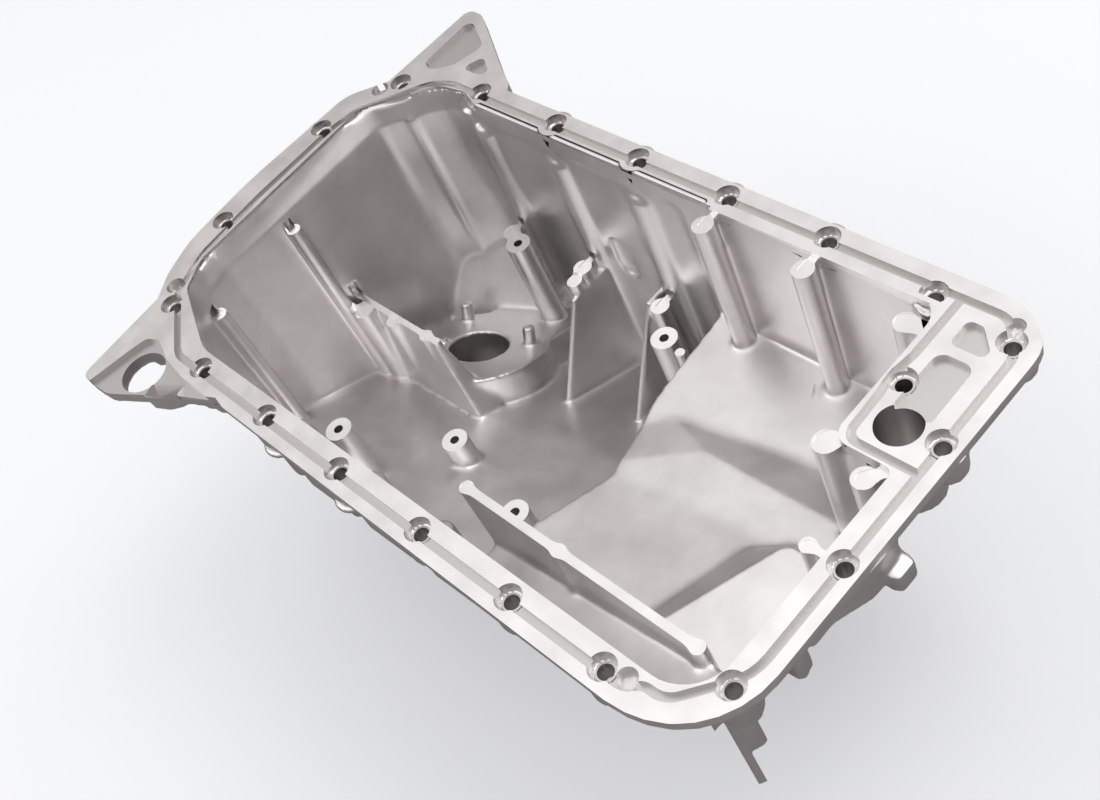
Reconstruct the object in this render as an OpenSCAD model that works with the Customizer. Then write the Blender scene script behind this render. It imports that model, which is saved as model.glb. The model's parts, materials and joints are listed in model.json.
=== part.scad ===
// Engine oil pan: one aluminium casting with a machined gasket flange.
// Millimetres. +Z up. The origin is the middle of the gasket face, which lies in z = 0.
// The sump hangs below it. Shapes are drawn from the gearbox-end front corner of the
// bolt grid (x to the timing end, y to the far side) and shifted to the origin at the end.

/* [Gasket flange] */
// Thickness of the machined flange
flange_t = 11; // [9:0.5:13]
// Radius of the flange bolt holes
bolt_hole_r = 3.5; // [3:0.25:3.75]
// Radius of the recess round each bolt hole
bolt_pocket_r = 6.2; // [5.5:0.1:6.5]
// Depth of the recess round each bolt hole
bolt_pocket_depth = 4.5; // [3:0.5:6]
// Width of the gasket groove
groove_w = 4; // [3:0.25:4.5]
// Depth of the gasket groove
groove_depth = 3; // [2:0.25:4]
// Radius of the cast boss under each flange hole
bolt_boss_r = 9; // [8:0.5:9.5]
// How far the cast boss reaches below the flange along the sides
bolt_boss_drop = 5; // [3:0.5:7]
// How far it reaches below the flange at the two ends
end_boss_drop = 12; // [9:0.5:14]

/* [Side walls] */
// Thickness of the cast side walls
wall_t = 4.5; // [4:0.25:5.5]
// Radius of the wrench flute outside each bolt of the long sides
flute_r = 7.5; // [7:0.25:8]
// Wall thickness left round a flute
flute_wall = 4.5; // [3.5:0.25:5]
// Height of the flute tops below the gasket face
flute_top = 21; // [18:0.5:25]

/* [Shallow tray] */
// Depth of the tray floor below the gasket face
tray_depth = 88; // [84:1:92]
// Thickness of the tray floor
tray_floor_t = 5; // [4:0.5:6]
// Height of the raised middle of the tray floor at the sump edge
hump_rise = 4; // [3:0.5:6]
// Climb of the raised floor towards the timing end
hump_climb_deg = 4.3; // [3.5:0.1:5]
// Slope of the bank between the tray floor and the raised middle
bank_deg = 24; // [20:1:30]
// Slope of the floor that climbs to the baffle wall
ramp_deg = 8.5; // [6:0.5:10]
// Depth of the high shelf at the timing end
shelf_depth = 60; // [56:1:64]
// Slope of the shelf banks
shelf_bank_deg = 40; // [35:1:45]
// Slope of the end wall at the timing end, from upright
end_wall_lean_deg = 20; // [15:1:24]

/* [Baffle and side channel] */
// Thickness of the baffle wall
baffle_t = 4; // [3:0.25:5]
// Depth of the baffle wall top below the gasket face
baffle_top = 4; // [2:0.5:7]
// Radius of the pads on the baffle wall
baffle_pad_r = 3.6; // [3:0.1:4]
// Depth of the side channel floor at its open end
channel_depth = 46; // [42:1:50]
// Climb of the side channel floor
channel_climb_deg = 13.5; // [12:0.5:15]

/* [Sump] */
// Depth of the sump floor below the gasket face, by the front wall at the gearbox end
sump_depth = 110; // [106:1:114]
// Fall of the sump floor towards the far side
sump_fall_deg = 23.6; // [21:0.2:24]
// Fall of the sump floor towards the gearbox end
sump_side_fall_deg = 5.7; // [4.5:0.1:6.5]
// Thickness of the sump floor
sump_floor_t = 5.5; // [4.5:0.5:6.5]
// Depth of the ledge under the gearbox-end rim
end_ledge_depth = 13; // [11:0.5:16]
// How far the end wall stands in below that ledge
end_ledge_w = 6; // [5:0.5:7]

/* [Level sensor seat] */
// Radius of the raised seat
seat_r = 40; // [38:0.5:41]
// Height of the seat above the sump floor
seat_rise = 24; // [21:0.5:27]
// Radius of the sensor opening
sensor_hole_r = 18; // [16:0.5:19]
// Height of the machined face under the seat
seat_face_h = 3; // [2:0.5:6]
// Radius of the posts on the seat
seat_post_r = 3.8; // [3.25:0.1:4.5]
// Height of the posts on the seat
seat_post_h = 12; // [9:0.5:14]

/* [Standoffs and pads] */
// Depth of the deep mounting plane below the gasket face
deck_depth = 90; // [87:1:93]
// Radius of the drilled standoffs
standoff_r = 7.5; // [6.75:0.25:8]
// Radius of the blind drilling in a standoff
standoff_hole_r = 2.5; // [2:0.25:3]
// Depth of the blind drilling in a standoff
standoff_hole_depth = 12; // [8:1:14]
// Radius of the pads along the far wall
pad_r = 5.5; // [4.5:0.25:6]
// Thickness of the thin webs behind the pads
web_t = 3; // [2.5:0.25:3.5]
// Thickness of the rib that divides the sump
rib_t = 3.5; // [3:0.25:4.5]
// Thickness of the gussets on the far wall
gusset_t = 3; // [2.5:0.25:3.5]

/* [Oil passage] */
// Radius of the passage bore
passage_r = 10; // [8.5:0.5:11]
// Depth of the passage bore
passage_depth = 38; // [30:1:42]
// Depth of the blind hole beside the passage
block_hole_depth = 36; // [24:1:40]
// Depth of the cast recess beside the passage
passage_recess = 3; // [2:0.5:4]

/* [Gearbox wings] */
// Thickness of the wing plates
wing_t = 14; // [12:0.5:16]
// Depth of the cast recess in each wing
wing_recess = 3; // [2:0.5:4]
// Radius of the hole in the front wing
wing_hole_r = 12.5; // [11:0.5:13.5]

/* [Drain] */
// Radius of the threaded drain hole
drain_r = 6.4; // [5.5:0.1:7]
// Length of the threaded drain hole
drain_len = 14; // [11:0.5:18]
// Radius of the drain boss
drain_boss_r = 14; // [12:0.5:15]

/* [Hidden] */
eps = 0.5;
$fn = 48;

// middle of the gasket face, measured from the bolt grid corner
mid_x = 210;
mid_y = 104;

// Outlines: corner points with their rounding radius, measured from above
flange_corners = [
  [22, 5, 11], [40, -2.5, 12], [66, -8.5, 26], [92, -9, 30], [427.4, -9, 52],
  [425, 216.5, 34], [62, 217, 46], [20, 202, 16], [-4.5, 173, 20], [-7.6, 100, 130],
  [-4, 52, 50], [4.5, 30, 26]];
rim_corners = [
  [70, 8.7, 24], [25, 29, 13], [14.8, 47, 20], [12.4, 170, 14], [45, 203.5, 18],
  [66, 206, 12], [80, 200.5, 14], [375, 200.5, 12],
  [375, 126, 8], [405, 126, 4], [405, 8.7, 22]];
sump_corners = [
  [66, 8.7, 26], [27, 30, 14], [20.5, 50, 20], [20.5, 172, 14], [51, 202.5, 22],
  [66, 201.5, 20], [228, 201.5, 7], [233.5, 140, 60], [249, 92, 8], [238, 48, 20],
  [237, 28.5, 2], [254.6, 28.5, 2], [254.6, 8.7, 3]];
groove_corners = [
  [60, -1.6, 16], [22, 25, 10], [12.2, 50, 22], [8.6, 95, 60], [8.6, 150, 40], [12, 168, 16],
  [40, 203, 24], [54, 208, 14], [90, 207, 20], [350, 207, 26], [372, 207.2, 20],
  [402, 207.2, 12], [413.5, 192, 14], [414.3, 100, 80], [414.5, 30, 24], [394, 4, 12],
  [384, 4, 6], [377, -1.2, 8]];
island_groove = [
  [414.3, 129, 2], [380, 129, 6], [379, 152, 8], [377.8, 163, 10], [379.5, 174, 8],
  [379.5, 207.2, 8]];

// Flange holes, from the gearbox-end front corner round the rim. The side holes have short
// bosses, the end holes long ones; two corner holes pass through the wings and the last
// hole is blind, in the passage block.
corner_holes = [[25.7, 17.9], [20.6, 195.8]];
side_holes = [[80, 0.2], [137.6, 0.2], [195.8, 0.2], [254.4, 0.2], [312.4, 0.2],
  [365.4, 0.4], [367.7, 204.6], [309.4, 209.4], [251.4, 209.4], [193.4, 209.6],
  [134.2, 210], [74.8, 210]];
end_holes = [[410.2, 22.5], [412.7, 145.3], [408.5, 197.6], [1.6, 148.2], [2.7, 71.9]];
lug_hole = [413.4, 83.4];
block_hole = [382.6, 162.3];
front_bolts = [80, 137.6, 195.8, 254.4, 312.4, 365.4];
back_bolts = [74.8, 134.2, 193.4, 251.4, 309.4, 367.7];

function unit(v) = v / norm(v);
function arc_of(p, q, s, r) =
  let (a = unit([p[0] - q[0], p[1] - q[1]]), b = unit([s[0] - q[0], s[1] - q[1]]),
       half = acos(max(-1, min(1, a * b))) / 2)
  (r <= 0 || half > 89.3) ? [[q[0], q[1]]] :
  let (d = r / tan(half), c = [q[0], q[1]] + unit(a + b) * r / sin(half),
       v = [q[0], q[1]] + a * d - c, w = [q[0], q[1]] + b * d - c,
       from = atan2(v[1], v[0]), turn = ((atan2(w[1], w[0]) - from + 540) % 360) - 180,
       n = max(1, ceil(abs(turn) / 11)))
  [for (i = [0:n]) c + r * [cos(from + turn * i / n), sin(from + turn * i / n)]];
function rounded(c) = [for (i = [0:len(c) - 1])
  each arc_of(c[(i + len(c) - 1) % len(c)], c[i], c[(i + 1) % len(c)], c[i][2])];
function rounded_path(c) = [for (i = [0:len(c) - 1])
  each (i == 0 || i == len(c) - 1) ? [[c[i][0], c[i][1]]]
    : arc_of(c[i - 1], c[i], c[i + 1], c[i][2])];
// a closed band of width w along a path: left side out, right side back
function side(p, i, w) =
  let (a = p[max(i - 1, 0)], b = p[min(i + 1, len(p) - 1)], t = unit(b - a))
  p[i] + w * [-t[1], t[0]];
function band(p, w) = concat([for (i = [0:len(p) - 1]) side(p, i, w / 2)],
  [for (i = [len(p) - 1:-1:0]) side(p, i, -w / 2)]);

// fall of the sump floor plane
fall_x = -sump_side_fall_deg;
fall_y = -atan(tan(sump_fall_deg) * cos(fall_x));

function floor_z(x, y) =
  -sump_depth + tan(sump_side_fall_deg) * (x - 20) - tan(sump_fall_deg) * (y - 8.7);

seat_under = seat_rise * cos(sump_fall_deg) + sump_floor_t + seat_face_h;

module slab(z0, z1) { translate([0, 0, z0]) linear_extrude(z1 - z0) children(); }
module post(p, r, z0, z1) { translate([p[0], p[1], z0]) cylinder(r = r, h = z1 - z0); }
module bar(p, q, t, z0, z1) {
  d = [q[0] - p[0], q[1] - p[1]];
  translate([p[0], p[1], z0]) rotate([0, 0, atan2(d[1], d[0])])
    translate([0, -t / 2, 0]) cube([norm(d), t, z1 - z0]);
}

// Everything above the sump floor plane, raised by lift
module above_sump_floor(lift) {
  translate([20, 8.7, -sump_depth + lift]) rotate([fall_y, fall_x, 0])
    translate([-60, -60, 0]) cube([420, 420, 300]);
}

// Everything below a plane through p: rising by ax towards +x and by ay towards +y
module below_plane(p, ax, ay) {
  translate(p) rotate([atan(tan(ay) * cos(ax)), -ax, 0])
    translate([-260, -260, -120]) cube([520, 520, 120]);
}

// The shapes that make the tray floor, moved down by drop
module tray_floor_shape(drop) {
  // raised middle with its bank and the worn-down corner at the sump edge
  intersection() {
    below_plane([238, 128, -tray_depth + hump_rise - drop], hump_climb_deg, 0.6);
    below_plane([238.5, 135.5, -tray_depth - drop], 4, -bank_deg);
    below_plane([246, 99, -tray_depth + hump_rise + 0.6 - drop], 10, -7.5);
  }
  // floor that climbs to the baffle wall
  intersection() {
    below_plane([238, 92, -tray_depth + hump_rise - drop], hump_climb_deg + 0.7, -ramp_deg);
    translate([200, 0, -210]) cube([230, 108, 200]);
  }
  // high shelf
  intersection() {
    translate([300, 0, -210 - drop]) cube([130, 150, 210 - shelf_depth]);
    translate([345, 66.6, -shelf_depth - drop]) rotate([0, 0, 69])
      rotate([-shelf_bank_deg, 0, 0]) translate([-150, -220, -120]) cube([300, 340, 120]);
    translate([357, 98, -shelf_depth - drop]) rotate([0, 0, 35.5])
      rotate([-60, 0, 0]) translate([-150, -220, -120]) cube([300, 340, 120]);
    translate([360, 101, -shelf_depth - drop]) rotate([0, 0, -4])
      rotate([-70, 0, 0]) translate([-150, -220, -120]) cube([300, 340, 120]);
  }
}

// Side of the leaning end wall towards the sump, moved out by out
module inside_end_wall(out) {
  translate([405 + out, 0, -8]) rotate([0, end_wall_lean_deg, 0])
    translate([-500, -60, -500]) cube([500, 420, 650]);
}

module rim_area() { polygon(rounded(rim_corners)); }
module sump_area() { polygon(rounded(sump_corners)); }

module outside() {
  slab(-flange_t, 0) polygon(rounded(flange_corners));
  intersection() {
    slab(-tray_depth - tray_floor_t, -1) offset(delta = wall_t) {
      rim_area();
      translate([374, 126]) square([31, 74.5]);
    }
    inside_end_wall(wall_t / cos(end_wall_lean_deg));
  }
  intersection() {
    slab(-230, -1) offset(delta = wall_t) sump_area();
    above_sump_floor(-sump_floor_t / cos(sump_fall_deg));
  }
  wings();
  for (p = side_holes) post(p, bolt_boss_r, -flange_t - bolt_boss_drop, -1);
  for (p = end_holes) post(p, bolt_boss_r, -flange_t - end_boss_drop, -1);
  post(lug_hole, bolt_boss_r, -36, -1);
  end_lugs();
}

module wings() {
  slab(-wing_t, 0) polygon(rounded([[14.5, 15, 2], [18.6, -38.5, 6], [27, -41, 6],
    [47, -41.5, 20], [61, -37, 12], [84, -22.5, 20], [110, -8, 12], [100, 6, 2],
    [30, 28, 2]]));
  slab(-wing_t - 6, -wing_t + 6) polygon(rounded([[62.5, -20, 2], [76, -11, 2], [90, -22, 2],
    [73, -33, 2]]));
  slab(-wing_t, 0) polygon(rounded([[12.5, 190, 2], [14.6, 257.5, 5], [26, 257.5, 12],
    [70, 230.5, 60], [96, 216, 14], [90, 205, 2]]));
}
module wing_recesses() {
  slab(-wing_recess, 1) polygon(rounded([[25, -45, 2], [30.5, -14.5, 6], [33, -4.5, 5],
    [41.5, -1.2, 6], [56, -6.8, 12], [74, -9.3, 12], [104, -9.8, 1], [84, -30, 2],
    [60, -50, 2]]));
  slab(-wing_recess, 1) polygon(rounded([[22.5, 214, 5], [22.5, 252, 4], [48, 238, 6],
    [42, 219.5, 5], [30, 209.5, 8]]));
  slab(-wing_recess, 1) polygon(rounded([[49, 219.5, 3], [55, 231, 3], [71, 221.5, 3],
    [60, 219, 3]]));
  post([48, -18.7], wing_hole_r, -wing_t - 8, 1);
}

// Cast lugs and feet under the rim at the timing end
module end_lugs() {
  slab(-26, -16) polygon(rounded([[398, 94, 1], [427.5, 94, 3], [427.5, 106, 3], [398, 106, 1]]));
  slab(-36, -5) polygon(rounded([[396, 64, 1], [412, 64, 8], [417.5, 84, 14], [415, 108, 8],
    [396, 108, 1]]));
  slab(-38, -5) polygon(rounded([[394, 46, 1], [414, 48, 3], [412, 57, 3], [394, 60, 1]]));
  post([394.4, 143.8], passage_r + 4, -passage_depth - 5, -5);
}

module cavity() {
  slab(-end_ledge_depth, 1) difference() {
    rim_area();
    translate([-20, -20]) square([80, 260]);
  }
  slab(-1.5, 1) rim_area();
  // slope from the rim down to the inset wall of the gearbox end
  hull() {
    slab(-1.6, -1.5) intersection() {
      rim_area();
      translate([-20, -20]) square([82, 260]);
    }
    slab(-end_ledge_depth, -end_ledge_depth + 0.1) intersection() {
      translate([end_ledge_w - 6, 0]) sump_area();
      translate([-20, -20]) square([82, 260]);
    }
  }
  intersection() {
    slab(-tray_depth, -end_ledge_depth + eps) difference() {
      rim_area();
      translate([-20, -20]) square([90, 260]);
    }
    inside_end_wall(0);
  }
  intersection() {
    slab(-230, -end_ledge_depth + eps) sump_area();
    above_sump_floor(0);
  }
}

// Solid kept inside the tray: floor shapes, side channel, baffle wall, passage block
module tray_inside() {
  intersection() {
    tray_floor_shape(0);
    intersection() {
      slab(-tray_depth - 2, -40) difference() {
        offset(delta = 1) rim_area();
        sump_area();
        translate([-20, -20]) square([240, 260]);
        translate([200, -20]) square([230, 47]);
      }
      inside_end_wall(1);
    }
  }
  // side channel floor
  intersection() {
    below_plane([254.6, 8, -channel_depth], channel_climb_deg, 0);
    slab(-tray_depth - tray_floor_t, -2) difference() {
      offset(delta = 1) rim_area();
      translate([-20, -20]) square([274.6, 260]);
      translate([200, 28]) square([230, 200]);
    }
  }
  // baffle wall with its pads
  intersection() {
    union() {
      bar([254.6, 28], [388, 28], baffle_t, -tray_depth - tray_floor_t,
        -baffle_top - 0.2);
      bar([388, 28], [404, 25], baffle_t, -40, -baffle_top - 16);
      for (x = [254.6, 312.5, 388]) post([x, 28], baffle_pad_r, -tray_depth, -baffle_top);
    }
    inside_end_wall(0.5);
  }
  // passage block
  intersection() {
    slab(-tray_depth, -1) polygon([[375, 126], [409, 126], [409, 204], [375, 204]]);
    inside_end_wall(0.5);
  }
}

// Outside spaces under the tray: what keeps its floor one thickness throughout
module under_tray() {
  intersection() {
    tray_floor_shape(tray_floor_t);
    difference() {
      slab(-200, -20) difference() {
        translate([215, 20]) square([230, 150]);
        offset(delta = wall_t) sump_area();
      }
      translate([374.5, 112, -120]) cube([60, 100, 119]);
    }
  }
  // under the side channel
  intersection() {
    below_plane([254.6, 8, -channel_depth - tray_floor_t], channel_climb_deg, 0);
    translate([254.6 + wall_t, -20, -200]) cube([141, 46, 199]);
  }
}

// Columns along the far wall that leave room for the flutes outside, and the same at the front
module flute_columns() {
  for (i = [0:5]) post([back_bolts[i], 209.4], flute_r + flute_wall,
    i < 3 ? -230 : -tray_depth - tray_floor_t, -flute_top);
  for (i = [0:2]) post([front_bolts[i], 0.2], flute_r + flute_wall, -230, -flute_top);
  post([29.5, 188.5], 6.5, -230, -14);
}

module flutes() {
  for (x = back_bolts) post([x, 209.4], flute_r, -230, -flange_t - bolt_boss_drop - 1);
  for (i = [0:2]) post([front_bolts[i], 0.2], flute_r, -230, -flange_t - bolt_boss_drop - 1);
}

standoffs = [[84.8, 183.6, 90], [210.2, 173, 90], [109, 30, 69], [140, 70, 106],
  [215.9, 52.1, 90]];

module sump_inside() {
  // drilled standoffs
  for (s = standoffs) post(s, standoff_r, -230, -s[2] + 90 - deck_depth);
  // pads along the far wall with thin webs behind them
  for (x = [74.6, 134.2, 193.5]) {
    post([x, 188.3], pad_r, -230, -deck_depth);
    bar([x, 188], [x, 204], web_t, -230, -deck_depth - 0.3);
  }
  post([136, 179], 4.5, -230, -deck_depth - 1);
  post([224, 170], 3, -230, -deck_depth);
  // dividing rib with pads
  bar([15, 107], [98, 110], rib_t, -230, -deck_depth - 0.3);
  post([98, 110], 2.6, -230, -deck_depth);
  post([35, 100], 6.5, -230, -deck_depth + 2);
  bar([35, 100], [35, 108], 6, -230, -deck_depth - 1);
  post([57, 103.5], 4, -230, -deck_depth);
  post([84, 107.5], 4.2, -230, -deck_depth);
  // pads on the gearbox-end wall
  post([26, 95], 4.2, -230, -19);
  bar([14, 97], [26, 95], web_t, -230, -19.3);
  post([31, 33], 4.6, -230, -22);
  bar([16, 31], [31, 33], web_t, -230, -22.3);
  // gussets
  for (g = [[139, -98, 171, 139.5], [185, -91, 187, 151]])
    translate([g[0] + gusset_t / 2, 0, 0]) rotate([90, 0, -90]) linear_extrude(gusset_t)
      polygon([[-205, g[1]], [-g[2], g[1]], [-g[3], -153.5], [-g[3], -230], [-205, -230]]);
  // small bosses inside the front wall
  for (x = [160, 216]) post([x, 6.5], 5, -230, -1.5);
  post([263, 7], 5, -40, -1.5);
}

module tray_columns() {
  for (x = [251, 309.5]) {
    post([x, 191.2], pad_r, -tray_depth - 2, -2.5);
    bar([x, 191], [x, 204], web_t, -tray_depth - 2, -2.8);
  }
  post([365.2, 187.9], pad_r, -tray_depth - 2, -2.5);
  bar([365.2, 187.9], [376, 189], web_t, -tray_depth - 2, -2.8);
  post([373.3, 124.4], 6, -tray_depth - 2, -2.5);
  bar([373.3, 124.4], [380, 131], 8, -tray_depth - 2, -2.9);
  intersection() {
    union() {
      post([396.2, 118.4], 5.5, -tray_depth - 2, -2.5);
      bar([396.2, 118.4], [404, 128], 5, -tray_depth - 2, -2.9);
      post([396.4, 83.7], 3.8, -tray_depth - 2, -2.5);
      bar([396.4, 83.7], [408, 83.7], web_t, -tray_depth - 2, -2.8);
    }
    inside_end_wall(2);
  }
}

// Raised seat of the level sensor, square to the sump floor
module seat_frame() {
  translate([76, 134, floor_z(76, 134) + seat_rise]) rotate([fall_y, fall_x, 0]) children();
}
module seat() {
  intersection() {
    union() {
      post([76, 134], seat_r, -230, -60);
      slab(-230, -60) polygon(rounded([[46, 150, 2], [106, 150, 2], [100, 204, 2], [52, 204, 2]]));
    }
    seat_frame() translate([-200, -200, -160]) cube([400, 400, 160]);
  }
  seat_frame() for (p = [[43.6, 31], [152.5, 35]])
    rotate([0, 0, p[0]]) translate([p[1], 0, -1]) cylinder(r = seat_post_r, h = seat_post_h + 1);
  seat_frame() rotate([0, 0, 209]) translate([23.5, 0, -1]) cylinder(r = 3, h = 4);
}

// Machined cuts in the gasket face
module flange_cuts() {
  for (p = side_holes) post(p, bolt_hole_r, -flange_t - bolt_boss_drop - 1, 1);
  for (p = end_holes) post(p, bolt_hole_r, -flange_t - end_boss_drop - 1, 1);
  for (p = corner_holes) post(p, bolt_hole_r, -60, 1);
  post(lug_hole, bolt_hole_r, -37, 1);
  for (p = concat(corner_holes, side_holes, end_holes, [lug_hole]))
    post(p, bolt_pocket_r, -bolt_pocket_depth, 1);
  post(block_hole, bolt_hole_r, -block_hole_depth, 1);
  post(block_hole, bolt_pocket_r, -bolt_pocket_depth, 1);
  g = rounded(groove_corners);
  slab(-groove_depth, 1) difference() {
    offset(delta = groove_w / 2) polygon(g);
    offset(delta = -groove_w / 2) polygon(g);
  }
  slab(-groove_depth, 1) polygon(band(rounded_path(island_groove), groove_w));
  // spare recesses beside the holes
  post([12.6, 186], 5, -bolt_pocket_depth, 1);
  post([16.5, 27], 5, -bolt_pocket_depth, 1);
  post([376.4, 2.5], 4.6, -bolt_pocket_depth, 1);
  post([405.5, 205], 4, -bolt_pocket_depth, 1);
  // passage with its recess
  post([394.4, 143.8], passage_r, -passage_depth, 1);
  slab(-passage_recess, 1) polygon(rounded([[386.5, 150, 2], [387, 180.5, 5], [404, 180.5, 5],
    [404.5, 150, 2]]));
  slab(-passage_recess, 1) polygon(rounded([[388, 185.5, 3], [388, 199, 3], [395, 199, 3],
    [404, 190, 3], [404, 185.5, 3]]));
}

drain_at = [112, 186];
module drain_frame() {
  translate([drain_at[0], drain_at[1], floor_z(drain_at[0], drain_at[1])])
    rotate([fall_y, fall_x, 0]) children();
}

module oil_pan() {
  color([0.80, 0.79, 0.78]) translate([-mid_x, -mid_y, 0]) difference() {
    union() {
      difference() {
        union() {
          outside();
          drain_frame() translate([0, 0, -drain_len]) cylinder(r = drain_boss_r, h = drain_len - 2);
          seat_frame() translate([0, 0, -seat_under]) cylinder(r = seat_r - 12, h = 14);
        }
        cavity();
      }
      tray_inside();
      intersection() {
        union() {
          flute_columns();
          sump_inside();
          seat();
        }
        slab(-230, 0) offset(delta = wall_t - 0.5) { rim_area(); sump_area(); }
        above_sump_floor(-2);
      }
      tray_columns();
    }
    under_tray();
    flutes();
    flange_cuts();
    wing_recesses();
    for (s = standoffs)
      post(s, standoff_hole_r, -s[2] + 90 - deck_depth - standoff_hole_depth, 0);
    seat_frame() translate([0, 0, -60]) cylinder(r = sensor_hole_r, h = 80);
    drain_frame() translate([0, 0, -20]) cylinder(r = drain_r, h = 40);
  }
}

oil_pan();
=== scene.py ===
"""Picture model of one engine oil pan: a shot-blasted aluminium casting with a milled gasket face.

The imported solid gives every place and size. A copy of it is fettled: blocks are cut off and added
where the photographed pan differs. Two skins then stand for the pan. The cast skin is that copy
as a mould leaves it, with filled corners and worn edges, its pads milled and its holes drilled.
The milled rim is the gasket face with its groove, pockets and holes.
"""

import json
import logging
import math
from collections.abc import Sequence
from dataclasses import dataclass, field
from enum import Enum

import bmesh
import bpy
import numpy as np
from bmesh.types import BMesh, BMFace, BMVert
from bpy.types import ID, Material, Mesh, Node, NodeSocket, NodeTree, Object
from mathutils import Matrix, Vector
from mathutils.bvhtree import BVHTree


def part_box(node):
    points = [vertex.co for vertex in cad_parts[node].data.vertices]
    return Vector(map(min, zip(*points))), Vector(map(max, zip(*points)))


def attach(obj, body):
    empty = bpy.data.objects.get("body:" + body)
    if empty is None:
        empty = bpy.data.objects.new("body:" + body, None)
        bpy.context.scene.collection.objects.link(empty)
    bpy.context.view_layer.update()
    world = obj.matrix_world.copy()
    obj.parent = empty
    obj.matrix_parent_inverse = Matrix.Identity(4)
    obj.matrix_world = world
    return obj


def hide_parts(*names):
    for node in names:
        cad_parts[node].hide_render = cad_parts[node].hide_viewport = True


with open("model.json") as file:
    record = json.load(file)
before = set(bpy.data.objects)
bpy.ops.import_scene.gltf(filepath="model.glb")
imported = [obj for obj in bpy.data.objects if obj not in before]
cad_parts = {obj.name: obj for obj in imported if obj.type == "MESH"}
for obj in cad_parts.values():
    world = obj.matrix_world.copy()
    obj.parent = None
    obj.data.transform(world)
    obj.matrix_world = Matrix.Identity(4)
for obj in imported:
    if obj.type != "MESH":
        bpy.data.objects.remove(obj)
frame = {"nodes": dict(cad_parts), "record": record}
log = logging.getLogger("oil_pan")

Pair = tuple[float, float]
Triple = tuple[float, float, float]
Ring = tuple[Triple, ...]
Colour = tuple[float, float, float, float]

MM = 0.001
WELD = 1e-6  # vertices closer than this, in metres, are one
LEVEL = 0.9  # a face looks up when the z of its normal is above this
NEARLY_STRAIGHT = 1.56  # half the angle of a corner too flat to round, in radians
ARC_STEPS = 8  # straight pieces of a rounded corner
ROUND_SIDES = 48  # sides of a drill or a boss
END_POINTS = 17  # points round each end of a pad's cutter
OFF_SQUARE = 0.013  # turns a boss a little, so that no side of it lies flush with the solid
WAVE_PERIOD = 0.31  # a wave texture of scale 1 repeats about every 0.31 units
RIM_DEPTH = 5.8 * MM  # the milled rim reaches this far below the gasket face


class Surface(Enum):
    """How a face of the part was finished."""

    CAST = 0
    MILLED = 1
    DRILLED = 2


class Join(Enum):
    """What a block does to the body that it meets."""

    CUT = "DIFFERENCE"
    ADD = "UNION"


def linear(hex_colour: str) -> Colour:
    """Turn an sRGB colour into the linear one that shaders take.

    Args:
        hex_colour: six hex digits, with or without a leading #.

    Returns:
        Red, green, blue and an alpha of 1.
    """
    digits = hex_colour.lstrip("#")
    parts = [int(digits[i:i + 2], 16) / 255 for i in (0, 2, 4)]
    low = [c / 12.92 if c <= 0.04045 else ((c + 0.055) / 1.055) ** 2.4 for c in parts]
    return (*low, 1.0)


def put(tree: NodeTree, kind: str, settings: dict | None = None, links: dict | None = None) -> Node:
    """Add one shader node with its settings and links.

    Args:
        tree: the node tree to add to.
        kind: Blender's name for the node type.
        settings: properties by name, or values of inputs by name or number.
        links: output sockets by the name or number of the input they feed.

    Returns:
        The new node.
    """
    node = tree.nodes.new(kind)
    for name, value in (settings or {}).items():
        if isinstance(name, str) and hasattr(node, name):
            setattr(node, name, value)
        else:
            node.inputs[name].default_value = value
    for name, socket in (links or {}).items():
        tree.links.new(socket, node.inputs[name])
    return node


def new_material(name: str) -> tuple[Material, NodeTree, Node]:
    """Start a material that holds one Principled shader.

    Args:
        name: the material's name.

    Returns:
        The material, its node tree and its shader node.
    """
    material = bpy.data.materials.new(name)
    material.use_nodes = True
    tree = material.node_tree
    tree.nodes.clear()
    shader = put(tree, "ShaderNodeBsdfPrincipled")
    put(tree, "ShaderNodeOutputMaterial", links={"Surface": shader.outputs[0]})
    return material, tree, shader


def ramp(node: Node, stops: list[tuple[float, str]]) -> None:
    """Set the stops of a colour ramp.

    Args:
        node: the ramp node.
        stops: place and sRGB hex colour of each stop, in order.
    """
    marks = node.color_ramp.elements
    while len(marks) < len(stops):
        marks.new(0.5)
    for mark, (place, colour) in zip(marks, stops):
        mark.position = place
        mark.color = linear(colour)


def new_metal(name: str) -> tuple[Material, NodeTree, Node, NodeSocket]:
    """Start a bare metal.

    Args:
        name: the material's name.

    Returns:
        The material, its node tree, its shader node and the socket that gives the place.
    """
    material, tree, shader = new_material(name)
    shader.inputs["Metallic"].default_value = 1.0
    return material, tree, shader, put(tree, "ShaderNodeTexCoord").outputs["Object"]


def noise(tree: NodeTree, place: NodeSocket, size_mm: float, detail: float,
          fineness: float = 0.5) -> NodeSocket:
    """Add a noise texture.

    Args:
        tree: the node tree.
        place: the socket that gives the place.
        size_mm: size of its patches.
        detail: how many finer layers it has.
        fineness: how strong the finer layers are.

    Returns:
        The socket that gives its value.
    """
    node = put(tree, "ShaderNodeTexNoise", {"Scale": 1 / (size_mm * MM), "Detail": detail,
                                            "Roughness": fineness}, {"Vector": place})
    return node.outputs["Fac"]


def vary_roughness(tree: NodeTree, shader: Node, source: NodeSocket, middle: float,
                   spread: float) -> None:
    """Let a texture set the roughness.

    Args:
        tree: the node tree.
        shader: the shader node.
        source: the socket that gives the texture's value.
        middle: the roughness in the middle.
        spread: how far apart its two ends are.
    """
    gloss = put(tree, "ShaderNodeMapRange",
                {"From Min": 0.3, "From Max": 0.7, "To Min": middle - spread / 2,
                 "To Max": middle + spread / 2}, {"Value": source})
    tree.links.new(gloss.outputs[0], shader.inputs["Roughness"])


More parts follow.
